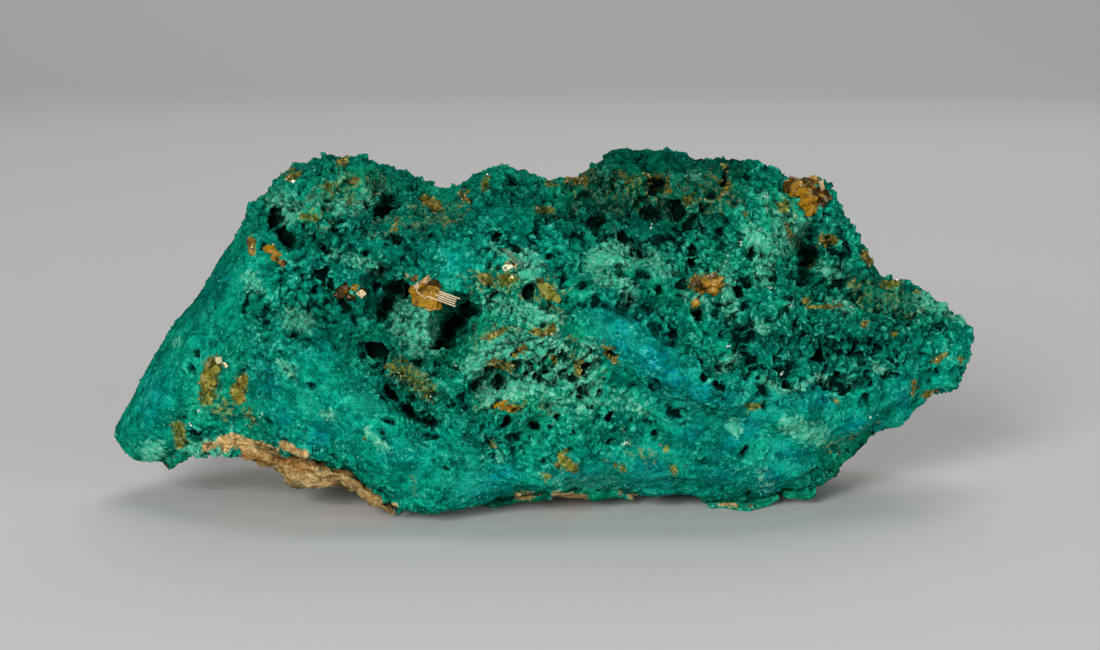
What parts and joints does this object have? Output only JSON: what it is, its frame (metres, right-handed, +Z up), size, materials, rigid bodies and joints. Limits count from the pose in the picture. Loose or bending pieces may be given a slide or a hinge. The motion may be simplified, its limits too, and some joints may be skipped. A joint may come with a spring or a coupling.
{
  "type": "herbertsmithite mineral specimen",
  "caption": "Long, pitted lump of green herbertsmithite on a thin bed of tan rock, with amber and olive crystals seated in its face; it rests on its worn underside.",
  "frame": {"origin": "under the middle of the specimen, on the plane that it rests on", "axes": "+X along the length, from the tapered left arm to the wedge-shaped right end; -Y out of the green face; +Z up, from the resting face to the crest"},
  "size_m": [0.06, 0.0282, 0.0242],
  "materials": {
    "green_herbertsmithite": "satin",
    "tan_rock": "matte",
    "amber_crystal": "gloss",
    "olive_crystal": "gloss",
    "pale_crystal": "satin"
  },
  "bodies": {
    "root": {"herbertsmithite_mass": "green_herbertsmithite", "tan_matrix": "tan_rock", "striated_amber_crystal": "amber_crystal", "shoulder_amber_crystals": "amber_crystal", "upper_left_amber_crystal": "amber_crystal", "lower_left_amber_crystals": "amber_crystal", "right_amber_crystal": "amber_crystal", "hollow_amber_crystals": "amber_crystal", "lower_middle_amber_crystal": "amber_crystal", "middle_olive_crystal": "olive_crystal", "upper_olive_crystals": "olive_crystal", "bottom_olive_crystals": "olive_crystal", "pale_blade": "pale_crystal"}
  },
  "joints": []
}
